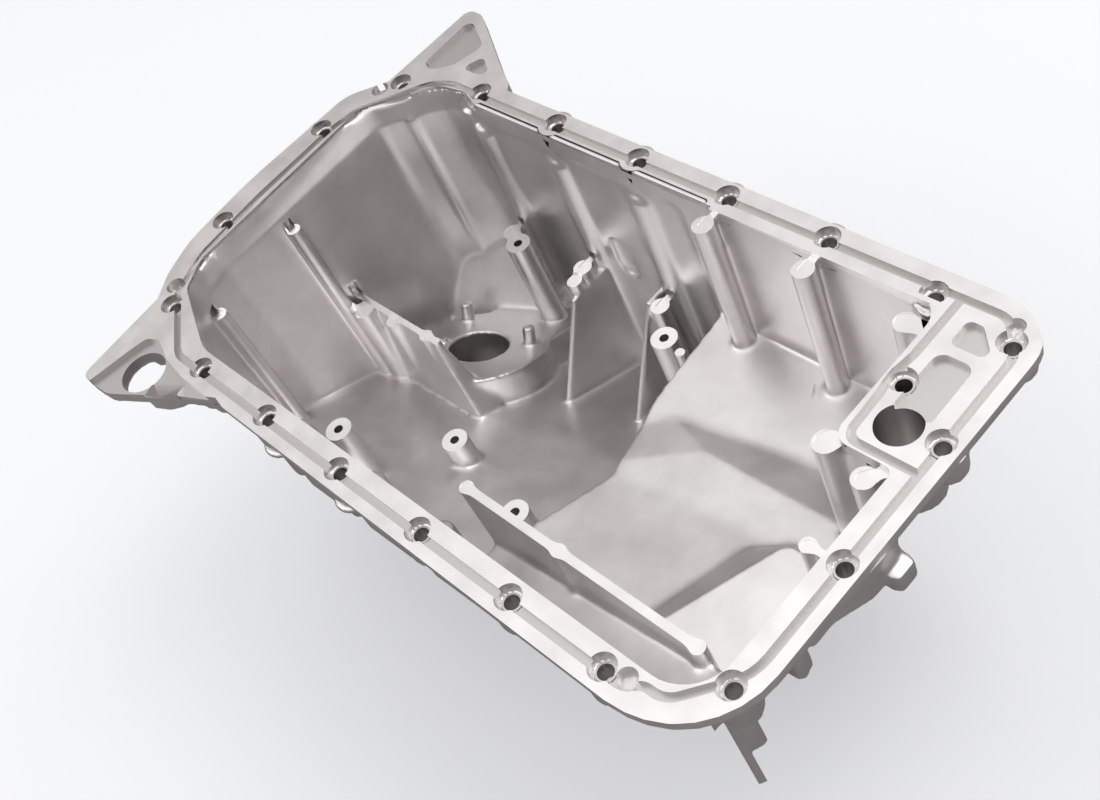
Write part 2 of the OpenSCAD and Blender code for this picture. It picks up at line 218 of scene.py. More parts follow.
def add_bump(tree: NodeTree, shader: Node, height: NodeSocket, strength: float,
             deep_mm: float) -> None:
    """Let a texture tilt the surface.

    Args:
        tree: the node tree.
        shader: the shader node.
        height: the socket that gives the texture's value.
        strength: share of the full effect.
        deep_mm: depth of the relief.
    """
    bump = put(tree, "ShaderNodeBump", {"Strength": strength, "Distance": deep_mm * MM},
               {"Height": height})
    tree.links.new(bump.outputs[0], shader.inputs["Normal"])


@dataclass(frozen=True)
class BlastedCastAluminium:
    """Cast aluminium alloy, shot-blasted: a pale satin skin, fine grain, and a painted highlight on
    its convex edges.
    """

    light: str = "#f0eeed"
    dark: str = "#e0dddc"
    # painted highlight: the brighter base colour that convex edges take
    edge: str = "#f6f4f3"
    highlight_from: float = 0.53  # pointiness at which the painted highlight on convex edges starts
    highlight_to: float = 0.62
    roughness: float = 0.40
    roughness_spread: float = 0.10
    grain_mm: float = 1.1  # real blasting leaves 0.3 mm dimples, drawn coarser to show
    cloud_mm: float = 26.0
    bump_strength: float = 0.5
    bump_mm: float = 0.05

    def make(self) -> Material:
        """Build the material.

        Returns:
            The new material.
        """
        material, tree, shader, place = new_metal("blasted_cast_aluminium")
        cloud = noise(tree, place, self.cloud_mm, 4.0, 0.6)
        grain = noise(tree, place, self.grain_mm, 3.0, 0.65)
        tone = put(tree, "ShaderNodeValToRGB", links={"Fac": cloud})
        ramp(tone, [(0.3, self.dark), (0.7, self.light)])
        # painted highlight: where pointiness is high, convex edges get the brighter edge colour
        point = put(tree, "ShaderNodeNewGeometry").outputs["Pointiness"]
        edge_share = put(tree, "ShaderNodeMapRange",
                   {"From Min": self.highlight_from, "From Max": self.highlight_to}, {"Value": point})
        mixed = put(tree, "ShaderNodeMix", {"data_type": "RGBA", 7: linear(self.edge)},
                    {0: edge_share.outputs[0], 6: tone.outputs["Color"]})
        tree.links.new(mixed.outputs[2], shader.inputs["Base Color"])
        vary_roughness(tree, shader, cloud, self.roughness, self.roughness_spread)
        add_bump(tree, shader, grain, self.bump_strength, self.bump_mm)
        return material


@dataclass(frozen=True)
class MilledAluminium:
    """Cast aluminium after a face mill: bright, with fine tool marks that catch the light."""

    light: str = "#f6f5f4"
    dark: str = "#e6e4e3"
    roughness: float = 0.27
    roughness_spread: float = 0.10
    tool_mark_mm: float = 1.2  # the feed marks are about 0.3 mm apart, drawn coarser to show
    cloud_mm: float = 18.0
    bump_strength: float = 0.6
    bump_mm: float = 0.012

    def make(self) -> Material:
        """Build the material.

        Returns:
            The new material.
        """
        material, tree, shader, place = new_metal("milled_aluminium")
        cloud = noise(tree, place, self.cloud_mm, 5.0)
        tone = put(tree, "ShaderNodeValToRGB", links={"Fac": cloud})
        ramp(tone, [(0.3, self.dark), (0.65, self.light)])
        tree.links.new(tone.outputs["Color"], shader.inputs["Base Color"])
        vary_roughness(tree, shader, cloud, self.roughness, self.roughness_spread)
        marks = put(tree, "ShaderNodeTexWave",
                    {"wave_type": "RINGS", "rings_direction": "Z",
                     "Scale": WAVE_PERIOD / (self.tool_mark_mm * MM),
                     "Distortion": 0.4, "Detail": 1.0}, {"Vector": place})
        add_bump(tree, shader, marks.outputs["Fac"], self.bump_strength, self.bump_mm)
        return material


@dataclass(frozen=True)
class DrilledAluminium:
    """Walls of drilled holes and cut pockets: bright metal with rings left by the drill."""

    colour: str = "#cfccca"
    roughness: float = 0.34
    ring_mm: float = 0.9  # the drill's feed is about 0.2 mm a turn, drawn coarser to show
    bump_strength: float = 0.5
    bump_mm: float = 0.03

    def make(self) -> Material:
        """Build the material.

        Returns:
            The new material.
        """
        material, tree, shader, place = new_metal("drilled_aluminium")
        shader.inputs["Base Color"].default_value = linear(self.colour)
        shader.inputs["Roughness"].default_value = self.roughness
        rings = put(tree, "ShaderNodeTexWave",
                    {"wave_type": "BANDS", "bands_direction": "Z",
                     "Scale": WAVE_PERIOD / (self.ring_mm * MM), "Distortion": 0.3},
                    {"Vector": place})
        add_bump(tree, shader, rings.outputs["Fac"], self.bump_strength, self.bump_mm)
        return material


@dataclass(frozen=True)
class PaleBackdrop:
    """Matt white studio floor, flagged off from the metal: the pan's outer sides mirror grey."""

    colour: str = "#f2f2f2"
    flagged: str = "#8f8b89"
    own_light: float = 0.25  # what it gives off to the camera by itself
    roughness: float = 0.9

    def make(self) -> Material:
        """Build the material.

        Returns:
            The new material.
        """
        material, tree, shader = new_material("matt_floor")
        shader.inputs["Roughness"].default_value = self.roughness
        shader.inputs["Emission Color"].default_value = (1.0, 1.0, 1.0, 1.0)
        path = put(tree, "ShaderNodeLightPath")
        tone = put(tree, "ShaderNodeMix", {"data_type": "RGBA", 6: linear(self.colour),
                                           7: linear(self.flagged)},
                   {0: path.outputs["Is Glossy Ray"]})
        tree.links.new(tone.outputs[2], shader.inputs["Base Color"])
        level = put(tree, "ShaderNodeMath", {"operation": "MULTIPLY", 1: self.own_light},
                    {0: path.outputs["Is Camera Ray"]})
        tree.links.new(level.outputs[0], shader.inputs["Emission Strength"])
        return material


def add_object(name: str, data: ID) -> Object:
    """Make an object and link it to the scene.

    Args:
        name: its name.
        data: its mesh, camera or lamp.

    Returns:
        The new object.
    """
    thing = bpy.data.objects.new(name, data)
    bpy.context.scene.collection.objects.link(thing)
    return thing


def bake(piece: Object) -> Mesh:
    """Turn a piece's modifiers into a mesh of its own.

    Args:
        piece: the piece, which loses its modifiers and takes the new mesh.

    Returns:
        The new mesh.
    """
    mesh = bpy.data.meshes.new_from_object(
        piece.evaluated_get(bpy.context.evaluated_depsgraph_get()))
    piece.modifiers.clear()
    piece.data = mesh
    return mesh


def run_boolean(body: Object, blocks: BMesh, how: Join,
                materials: Sequence[Material] = ()) -> None:
    """Join closed blocks with a body, or cut them from it.

    Args:
        body: the body, changed in place.
        blocks: the blocks, which are freed.
        how: what the blocks do to the body.
        materials: what the blocks leave on the body; with none it keeps its own.
    """
    mesh = bpy.data.meshes.new("blocks")
    blocks.to_mesh(mesh)
    blocks.free()
    for material in materials:
        mesh.materials.append(material)
    tool = add_object("blocks", mesh)
    step = body.modifiers.new("step", "BOOLEAN")
    step.operation = how.value
    step.object = tool
    step.solver = "EXACT"
    step.use_self = True
    if materials:
        step.material_mode = "TRANSFER"
    bake(body)
    bpy.data.objects.remove(tool)


def close_rings(bm: BMesh, low: list[BMVert], high: list[BMVert]) -> None:
    """Close a block between two rings of vertices.

    Args:
        bm: the mesh that has the rings.
        low: the one ring, anticlockwise as seen from the other.
        high: the other ring, in the same order.
    """
    bm.faces.new(list(reversed(low)))
    bm.faces.new(high)
    for i, v in enumerate(low):
        k = (i + 1) % len(low)
        bm.faces.new((v, low[k], high[k], high[i]))


def read_points(mesh: Mesh) -> np.ndarray:
    """Read a mesh's vertices.

    Args:
        mesh: the mesh.

    Returns:
        Their places, one row each.
    """
    co = np.empty(len(mesh.vertices) * 3)
    mesh.vertices.foreach_get("co", co)
    return co.reshape(-1, 3)


def write_points(mesh: Mesh, co: np.ndarray) -> None:
    """Move a mesh's vertices.

    Args:
        mesh: the mesh, changed in place.
        co: their new places, one row each.
    """
    mesh.vertices.foreach_set("co", co.ravel())
    mesh.update()


def rounded(corners: list[Triple]) -> np.ndarray:
    """Round the corners of a plan outline.

    Args:
        corners: x, y and rounding radius of each corner, in millimetres.

    Returns:
        The outline's points in millimetres, one row each.
    """
    points: list[np.ndarray] = []
    for i, (x, y, r) in enumerate(corners):
        here = np.array([x, y])
        before, after = (np.array(corners[(i + k) % len(corners)][:2]) for k in (-1, 1))
        a = (before - here) / np.linalg.norm(before - here)
        b = (after - here) / np.linalg.norm(after - here)
        half = math.acos(max(-1.0, min(1.0, float(a @ b)))) / 2
        if r <= 0 or half > NEARLY_STRAIGHT:
            points.append(here)
            continue
        reach = r / math.tan(half)
        centre = here + (a + b) / np.linalg.norm(a + b) * r / math.sin(half)
        first, last = here + a * reach - centre, here + b * reach - centre
        start = math.atan2(first[1], first[0])
        turn = (math.atan2(last[1], last[0]) - start + 3 * math.pi) % (2 * math.pi) - math.pi
        for k in range(ARC_STEPS + 1):
            angle = start + turn * k / ARC_STEPS
            points.append(centre + r * np.array([math.cos(angle), math.sin(angle)]))
    return np.array(points)


def inside_by(points: np.ndarray, outline: np.ndarray) -> np.ndarray:
    """Measure how far plan points lie inside an outline.

    Args:
        points: plan points, one row each.
        outline: the outline's points, in the same unit.

    Returns:
        The distance to the outline, negative outside it.
    """
    best = np.full(len(points), np.inf)
    odd = np.zeros(len(points), bool)
    for p, q in zip(outline, np.roll(outline, -1, 0)):
        d = q - p
        if not d.any():
            continue
        t = np.clip(((points - p) @ d) / (d @ d), 0, 1)
        best = np.minimum(best, np.linalg.norm(points - p - t[:, None] * d, axis=1))
        cross = (p[1] > points[:, 1]) != (q[1] > points[:, 1])
        with np.errstate(divide="ignore", invalid="ignore"):
            at = p[0] + (points[:, 1] - p[1]) * d[0] / d[1]
        odd ^= cross & (points[:, 0] < at)
    return np.where(odd, best, -best)


@dataclass(frozen=True)
class Pad:
    """A milled top: a plan line with a radius, at one height, in millimetres from the bolt grid."""

    start: Pair
    end: Pair
    radius: float
    top: float

    @classmethod
    def spot(cls, x: float, y: float, radius: float, top: float) -> "Pad":
        """Make a round pad.

        Args:
            x: middle along the pan.
            y: middle across the pan.
            radius: its radius.
            top: its height.

        Returns:
            The pad.
        """
        return cls((x, y), (x, y), radius, top)


@dataclass(frozen=True)
class Reach:
    """How far round the milled rim a test reaches, in metres.

    The slack is how far a point may stand inside the rim's inner edge, the depth how far below
    the gasket face, and the lip is that depth at the gearbox end, where a slope starts at once.
    """

    slack: float
    depth: float
    lip: float


@dataclass
class MachinedZones:
    """Where a cutter has touched the casting."""

    bores: list[dict]
    origin_mm: Pair = (210.0, 104.0)
    rim_corners: list[Triple] = field(default_factory=lambda: [
        (70, 8.7, 24), (26, 27.5, 13), (14.8, 47, 20), (12.4, 170, 14), (45, 203.5, 18),
        (66, 206, 12), (80, 203.5, 14), (245.5, 203.5, 3), (250, 199, 3), (375, 199, 12),
        (375, 126, 8), (405, 126, 4), (405, 8.7, 22)])
    lobe_bolts: tuple[Pair, ...] = ((74.8, 210), (134.2, 210), (193.4, 210), (251.4, 209.4))
    lobe_radius: float = 9.3
    slope_end: float = 62.0  # up to this x the wall slopes in right below the rim's inner edge
    slope_slack: float = 1.0 * MM
    blind: tuple[str, ...] = ("oil_passage", "passage_bolt", "standoff")
    sump_lugs: tuple[float, ...] = (74.6, 134.2, 193.5)
    tray_lugs: tuple[float, ...] = (251, 309.5)
    standoff_radius: float = 7.5
    overrun: float = 0.9  # a face cutter runs this many millimetres beyond a pad
    clear: float = 4.0 * MM  # cutters and drills reach this far out of the metal
    drill_play: float = 0.06 * MM  # a drill is this much wider than its hole in the solid

    def __post_init__(self) -> None:
        """Turn the rim's inner edge into an outline in the part's own frame, and list the pads."""
        self.rim = (rounded(self.rim_corners) - np.array(self.origin_mm)) * MM
        self.lobes = (np.array(self.lobe_bolts) - np.array(self.origin_mm)) * MM
        # lugs of the sump's far wall, each with the web behind it
        self.pads = [Pad.spot(x, 188.3, 5.5, -90) for x in self.sump_lugs]
        self.pads += [Pad((x, 188.3), (x, 200.5), 1.5, -90.3) for x in self.sump_lugs]
        # bosses and rib of the sump, then two small pads of the gearbox-end wall with their webs
        self.pads += [
            Pad.spot(136, 179, 4.5, -91), Pad.spot(224, 170, 3, -90),
            Pad((17, 107), (93, 107.2), 1.75, -90.3), Pad.spot(93, 107.3, 2.6, -90),
            Pad.spot(35, 100, 6.5, -88), Pad.spot(57, 103.5, 4, -90),
            Pad.spot(84.5, 106.8, 4.2, -90), Pad.spot(26, 95, 4.2, -19),
            Pad((18, 96.3), (26, 95), 1.5, -19.3), Pad.spot(31, 33, 4.6, -22),
            Pad((22, 31.7), (31, 33), 1.5, -22.3)]
        # lugs of the tray, each with the web behind it, and the baffle with its three pads
        self.pads += [Pad.spot(x, 191.2, 5.5, -2.5) for x in self.tray_lugs]
        self.pads += [Pad((x, 191.2), (x, 198.6), 1.5, -2.8) for x in self.tray_lugs]
        self.pads += [
            Pad.spot(365.2, 187.9, 5.5, -2.5), Pad((365.2, 187.9), (371, 188.7), 4, -2.8),
            Pad.spot(373.3, 124.4, 6, -2.5), Pad((373.3, 124.4), (374, 126), 4, -2.9),
            Pad.spot(396.2, 118.4, 5.5, -2.5), Pad((396.2, 118.4), (401, 124), 2.5, -2.9),
            Pad.spot(396.4, 83.7, 3.8, -2.5), Pad((396.4, 83.7), (404, 83.7), 1.5, -2.8),
            Pad((254.6, 28), (388, 28), 2, -4.2)]
        self.pads += [Pad.spot(x, 28, 3.6, -4) for x in (254.6, 312.5, 388)]
        for bore in self.bores:
            if bore["name"].startswith("standoff"):
                x, y = (bore["pos_m"][i] / MM + self.origin_mm[i] for i in (0, 1))
                top = bore["pos_m"][2] / MM + bore["dims"]["length_mm"] / 2
                self.pads.append(Pad.spot(x, y, self.standoff_radius, top))

    def at(self, x: float, y: float) -> Pair:
        """Turn a place on the bolt grid into one in the part's own frame.

        Args:
            x: place along the pan, in millimetres.
            y: place across the pan.

        Returns:
            The same place in metres.
        """
        return (x - self.origin_mm[0]) * MM, (y - self.origin_mm[1]) * MM

    def on_rim(self, points: np.ndarray, reach: Reach) -> np.ndarray:
        """Tell which points belong to the milled rim.

        Args:
            points: points in metres, one row each.
            reach: how far the test reaches.

        Returns:
            True for each point on the rim.
        """
        inside = inside_by(points[:, :2], self.rim)
        for lobe in self.lobes:
            off = np.linalg.norm(points[:, :2] - lobe, axis=1) - self.lobe_radius * MM
            inside = np.minimum(inside, off)
        sloped = (points[:, 0] < self.at(self.slope_end, 0)[0]) & (inside > -self.slope_slack)
        return (points[:, 2] > -np.where(sloped, reach.lip, reach.depth)) & (inside < reach.slack)

    def on_pad(self, points: np.ndarray, pad: Pad, margin: float, band_height: float) -> np.ndarray:
        """Tell which points lie on or close round one milled top.

        Args:
            points: points in metres, one row each.
            pad: the milled top.
            margin: reach beyond its outline.
            band_height: reach above and below its height.

        Returns:
            True for each point close to the pad.
        """
        a, b = (np.array(self.at(*p)) for p in (pad.start, pad.end))
        d = b - a
        t = np.clip(((points[:, :2] - a) @ d) / max(d @ d, 1e-12), 0, 1)
        off = np.linalg.norm(points[:, :2] - a - t[:, None] * d, axis=1)
        rise = points[:, 2] - pad.top * MM
        return (off < pad.radius * MM + margin) & (np.abs(rise) < band_height)

    def pad_cutters(self, bm: BMesh) -> None:
        """Add the space that a cutter sweeps above every pad.

        Args:
            bm: the mesh to add to.
        """
        half_turn = np.linspace(-math.pi / 2, math.pi / 2, END_POINTS)
        for pad in self.pads:
            (x0, y0), (x1, y1) = self.at(*pad.start), self.at(*pad.end)
            r, turn = (pad.radius + self.overrun) * MM, math.atan2(y1 - y0, x1 - x0)
            ring = [(x1 + r * math.cos(turn + a), y1 + r * math.sin(turn + a)) for a in half_turn]
            ring += [(x0 - r * math.cos(turn + a), y0 - r * math.sin(turn + a)) for a in half_turn]
            low = [bm.verts.new((x, y, pad.top * MM)) for x, y in ring]
            rise = Vector((0, 0, self.clear))
            close_rings(bm, low, [bm.verts.new(v.co + rise) for v in low])

    def drill_cutters(self, bm: BMesh) -> None:
        """Add a drill for every bore.

        Args:
            bm: the mesh to add to.
        """
        for bore in self.bores:
            axis = Vector(bore["axis"]).normalized()
            half = bore["dims"]["length_mm"] * MM / 2
            radius = bore["dims"]["r_mm"] * MM + self.drill_play
            middle = Vector(bore["pos_m"])
            start = middle - axis * half
            if not bore["name"].startswith(self.blind):
                start = start - axis * self.clear
            end = middle + axis * (half + self.clear)
            side = axis.orthogonal().normalized()
            other = axis.cross(side)
            low = [bm.verts.new(start + (side * math.cos(a) + other * math.sin(a)) * radius)
                   for a in np.linspace(0, 2 * math.pi, ROUND_SIDES + 1)[:-1]]
            close_rings(bm, low, [bm.verts.new(v.co + (end - start)) for v in low])


@dataclass
class CastSkin:
    """The casting as mould and blasting leave it, with its pads milled and its holes drilled."""

    zones: MachinedZones
    pitch: float = 1.0 * MM
    fill_rounds: int = 15
    wear_rounds: int = 4
    fill: float = 0.85  # share of the way that a hollow rises in a round
    wear: float = 0.55  # share of the way that an edge sinks in a round of wear
    calm: float = 0.04  # the same in the rounds after those
    same_normals: int = 4  # rounds in which the normals stay as they are
    triangles: int = 195_000
    stock: float = 2.0 * MM
    pad_margin: float = 0.4 * MM
    pad_band: float = 0.35 * MM
    held: Reach = Reach(1.2 * MM, 6.4 * MM, 2.6 * MM)  # stays sharp for the rim that covers it
    covered: Reach = Reach(0.3 * MM, RIM_DEPTH - 1.4 * MM, 0.6 * MM)
    fit_below: float = 1.2 * MM  # skin up to this far below the rim is fitted under it
    search: float = 1.3 * MM
    edge_slack: float = 0.15 * MM
    sunk: float = 0.12 * MM  # how far behind the rim's faces the skin then lies
    push_limit: float = 1.0 * MM
    sharp_from: float = 50.0  # degrees

    def relax(self, mesh: Mesh) -> None:
        """Fill the inner corners and wear the outer edges.

        Args:
            mesh: an even mesh of quads, changed in place.
        """
        co = read_points(mesh)
        n = len(co)
        ends = np.empty(len(mesh.edges) * 2, np.int64)
        mesh.edges.foreach_get("vertices", ends)
        ends = ends.reshape(-1, 2)
        quads = np.empty(len(mesh.loops), np.int64)
        mesh.loops.foreach_get("vertex_index", quads)
        quads = quads.reshape(-1, 4)
        count = np.bincount(ends.ravel(), minlength=n)
        free = np.where(self.zones.on_rim(co, self.held), 0.0, 1.0)
        for turn in range(self.fill_rounds):
            if turn % self.same_normals == 0:
                a, b, c, d = (co[quads[:, i]] for i in range(4))
                face = np.cross(c - a, d - b)
                normal = np.stack([sum(np.bincount(quads[:, i], face[:, k], n) for i in range(4))
                                   for k in range(3)], 1)
                normal /= np.maximum(np.linalg.norm(normal, axis=1), 1e-20)[:, None]
            mean = np.stack([np.bincount(ends[:, 0], co[ends[:, 1], k], n)
                             + np.bincount(ends[:, 1], co[ends[:, 0], k], n)
                             for k in range(3)], 1) / count[:, None]
            rise = ((mean - co) * normal).sum(1)
            edge_share = self.wear if turn < self.wear_rounds else self.calm
            co = co + normal * (rise * np.where(rise > 0, self.fill, edge_share) * free)[:, None]
        write_points(mesh, co)

    def leave_stock(self, mesh: Mesh) -> None:
        """Raise the tops of the pads, so that the cutter finds metal to take off.

        Args:
            mesh: a copy of the solid's mesh, changed in place.
        """
        co = read_points(mesh)
        lift = np.zeros(len(co), bool)
        for pad in self.zones.pads:
            lift |= self.zones.on_pad(co, pad, self.pad_margin, self.pad_band)
        co[lift, 2] += self.stock
        write_points(mesh, co)

    def cut_away(self, body: Object, materials: list[Material]) -> None:
        """Mill the pads and drill the holes of the cast body.

        Args:
            body: the cast body, changed in place.
            materials: the cast, milled and drilled surfaces, in that order.
        """
        bm = bmesh.new()
        self.zones.pad_cutters(bm)
        milled = len(bm.faces)
        self.zones.drill_cutters(bm)
        for i, face in enumerate(bm.faces):
            face.material_index = 0 if i < milled else 1
        bmesh.ops.recalc_face_normals(bm, faces=bm.faces)
        run_boolean(body, bm, Join.CUT, materials[Surface.MILLED.value:])

    def build(self, solid: Object, materials: list[Material], rim: Object) -> Object:
        """Make the cast skin.

        Args:
            solid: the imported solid.
            materials: the cast, milled and drilled surfaces, in that order.
            rim: the milled rim, which covers the top of this skin.

        Returns:
            The new piece.
        """
        start = solid.data.copy()
        self.leave_stock(start)
        piece = add_object("pan_cast_skin", start)
        even = piece.modifiers.new("even", "REMESH")
        even.mode = "VOXEL"
        even.voxel_size = self.pitch
        mesh = bake(piece)
        self.relax(mesh)
        thin = piece.modifiers.new("thin", "DECIMATE")
        thin.ratio = min(1.0, self.triangles / (2 * len(mesh.polygons)))
        mesh = bake(piece)
        mesh.materials.clear()
        mesh.materials.append(materials[Surface.CAST.value])
        self.cut_away(piece, materials)
        mesh = piece.data
        self.open_under_rim(mesh, rim)
        mesh.polygons.foreach_set("use_smooth", [True] * len(mesh.polygons))
        mesh.set_sharp_from_angle(angle=math.radians(self.sharp_from))
        return piece

    def open_under_rim(self, mesh: Mesh, rim: Object) -> None:
        """Take away the faces that the milled rim covers, and keep the rest just inside it.

        Args:
            mesh: the cut mesh, changed in place.
            rim: the milled rim.
        """
        bm = bmesh.new()
        bm.from_mesh(mesh)
        faces = list(bm.faces)
        middle = np.array([f.calc_center_median() for f in faces])
        covered = self.zones.on_rim(middle, self.covered)
        bmesh.ops.delete(bm, geom=[f for f, c in zip(faces, covered) if c], context="FACES")
        tree = BVHTree.FromPolygons([v.co for v in rim.data.vertices],
                                    [tuple(p.vertices) for p in rim.data.polygons])
        low = -RIM_DEPTH - self.fit_below
        for vert in bm.verts:
            if vert.co.z < low:
                continue
            spot, normal, _, _ = tree.find_nearest(vert.co, self.search)
            if spot is None or normal.z > LEVEL or vert.co.z < spot.z - self.edge_slack:
                continue
            proud = (vert.co - spot).dot(normal) + self.sunk
            if proud > 0:
                vert.co -= normal * min(proud, self.push_limit)
        bm.to_mesh(mesh)
        bm.free()


@dataclass
class MilledRim:
    """The gasket face with its groove, pockets and holes."""

    zones: MachinedZones
    kept: Reach = Reach(0.3 * MM, RIM_DEPTH, 1.62 * MM)
    coplanar: float = 0.5  # degrees between faces that count as one
    edge_break: float = 0.3 * MM
    break_from: float = 40.0  # degrees between faces whose edge is broken
    face_slack: float = 1.0 * MM
    steep: float = 0.3
    groove_depth: float = 4.7 * MM
    bore_slack: float = 0.3 * MM

    def build(self, solid: Object, materials: list[Material]) -> Object:
        """Make the milled rim from the solid's own faces.

        Args:
            solid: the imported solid.
            materials: the cast, milled and drilled surfaces, in that order.

        Returns:
            The new piece.
        """
        bm = bmesh.new()
        bm.from_mesh(solid.data)
        bmesh.ops.remove_doubles(bm, verts=bm.verts, dist=WELD)
        cross = [f for f in bm.faces if max(v.co.z for v in f.verts) > -RIM_DEPTH
                 and min(v.co.z for v in f.verts) < -RIM_DEPTH]
        geom = set(cross)
        for face in cross:
            geom.update(face.edges)
            geom.update(face.verts)
        bmesh.ops.bisect_plane(bm, geom=list(geom), plane_co=(0, 0, -RIM_DEPTH),
                               plane_no=(0, 0, 1))
        faces = list(bm.faces)
        middle = np.array([f.calc_center_median() for f in faces])
        keep = self.zones.on_rim(middle, self.kept)
        bmesh.ops.delete(bm, geom=[f for f, k in zip(faces, keep) if not k], context="FACES")
        bmesh.ops.dissolve_limit(bm, angle_limit=math.radians(self.coplanar), verts=bm.verts,
                                 edges=bm.edges)
        for face in bm.faces:
            face.material_index = self.finish_of(face).value
        mesh = bpy.data.meshes.new("pan_milled_rim")
        bm.to_mesh(mesh)
        bm.free()
        for material in materials:
            mesh.materials.append(material)
        mesh.polygons.foreach_set("use_smooth", [True] * len(mesh.polygons))
        piece = add_object("pan_milled_rim", mesh)
        bevel = piece.modifiers.new("edge_break", "BEVEL")
        bevel.width = self.edge_break
        bevel.segments = 2
        bevel.limit_method = "ANGLE"
        bevel.angle_limit = math.radians(self.break_from)
        bevel.material = -1
        flat = piece.modifiers.new("flat", "WEIGHTED_NORMAL")
        flat.weight = 100
        flat.keep_sharp = True
        bake(piece)
        return piece

    def finish_of(self, face: BMFace) -> Surface:
        """Tell how one face of the rim was finished.

        Args:
            face: a face of the solid.

        Returns:
            The kind of surface.
        """
        middle = face.calc_center_median()
        if face.normal.z > LEVEL:
            return Surface.MILLED if middle.z > -self.face_slack else Surface.DRILLED
        foot = min(v.co.z for v in face.verts)
        if abs(face.normal.z) < self.steep and foot > -self.groove_depth:
            return Surface.DRILLED
        for bore in self.zones.bores:
            x, y = bore["pos_m"][:2]
            if math.hypot(middle.x - x, middle.y - y) < bore["dims"]["r_mm"] * MM + self.bore_slack:
                return Surface.DRILLED
        return Surface.CAST


@dataclass(frozen=True)
class Block:
    """A closed block between two rings of the same count, in millimetres from the bolt grid."""

    low: Ring
    high: Ring


def ring(outline: Sequence[Pair], z: float) -> Ring:
    """Lay a plan outline at one height.

    Args:
        outline: the outline's points.
        z: the height.

    Returns:
        The ring.
    """
    return tuple((x, y, z) for x, y in outline)


def prism(outline: np.ndarray | list[Pair], low: float, high: float) -> Block:
    """Raise a plan outline to a block.

    Args:
        outline: the outline's points, one row each.
        low: height of its foot.
        high: height of its top.

    Returns:
        The block, with its outline turned anticlockwise.
    """
    p = np.asarray(outline, float)
    q = np.roll(p, -1, 0)
    if (p[:, 0] * q[:, 1] - q[:, 0] * p[:, 1]).sum() < 0:
        p = p[::-1]
    return Block(ring(p, low), ring(p, high))


def slab(x0: float, y0: float, x1: float, y1: float, low: float, high: float) -> Block:
    """Make a square block.

    Args:
        x0: its end towards the gearbox.
        y0: its face towards the front.
        x1: its other end.
        y1: its face towards the far side.
        low: height of its foot.
        high: height of its top.

    Returns:
        The block.
    """
    return prism([(x0, y0), (x1, y0), (x1, y1), (x0, y1)], low, high)


def disc(x: float, y: float, r: float, low: float, high: float) -> Block:
    """Make an upright cylinder.

    Args:
        x: middle along the pan.
        y: middle across the pan.
        r: radius.
        low: height of its foot.
        high: height of its top.

    Returns:
        The block.
    """
    turn = np.linspace(0, 2 * math.pi, ROUND_SIDES + 1)[:-1] + OFF_SQUARE
    return prism(np.stack([x + r * np.cos(turn), y + r * np.sin(turn)], 1), low, high)


def band(path: np.ndarray, width: float) -> np.ndarray:
    """Widen a path to an outline.

    Args:
        path: the path's points, one row each.
        width: width of the outline.

    Returns:
        The outline's points.
    """
    way = np.gradient(path, axis=0)
    way /= np.linalg.norm(way, axis=1)[:, None]
    side = np.stack([-way[:, 1], way[:, 0]], 1) * width / 2
    return np.concatenate([path + side, (path - side)[::-1]])


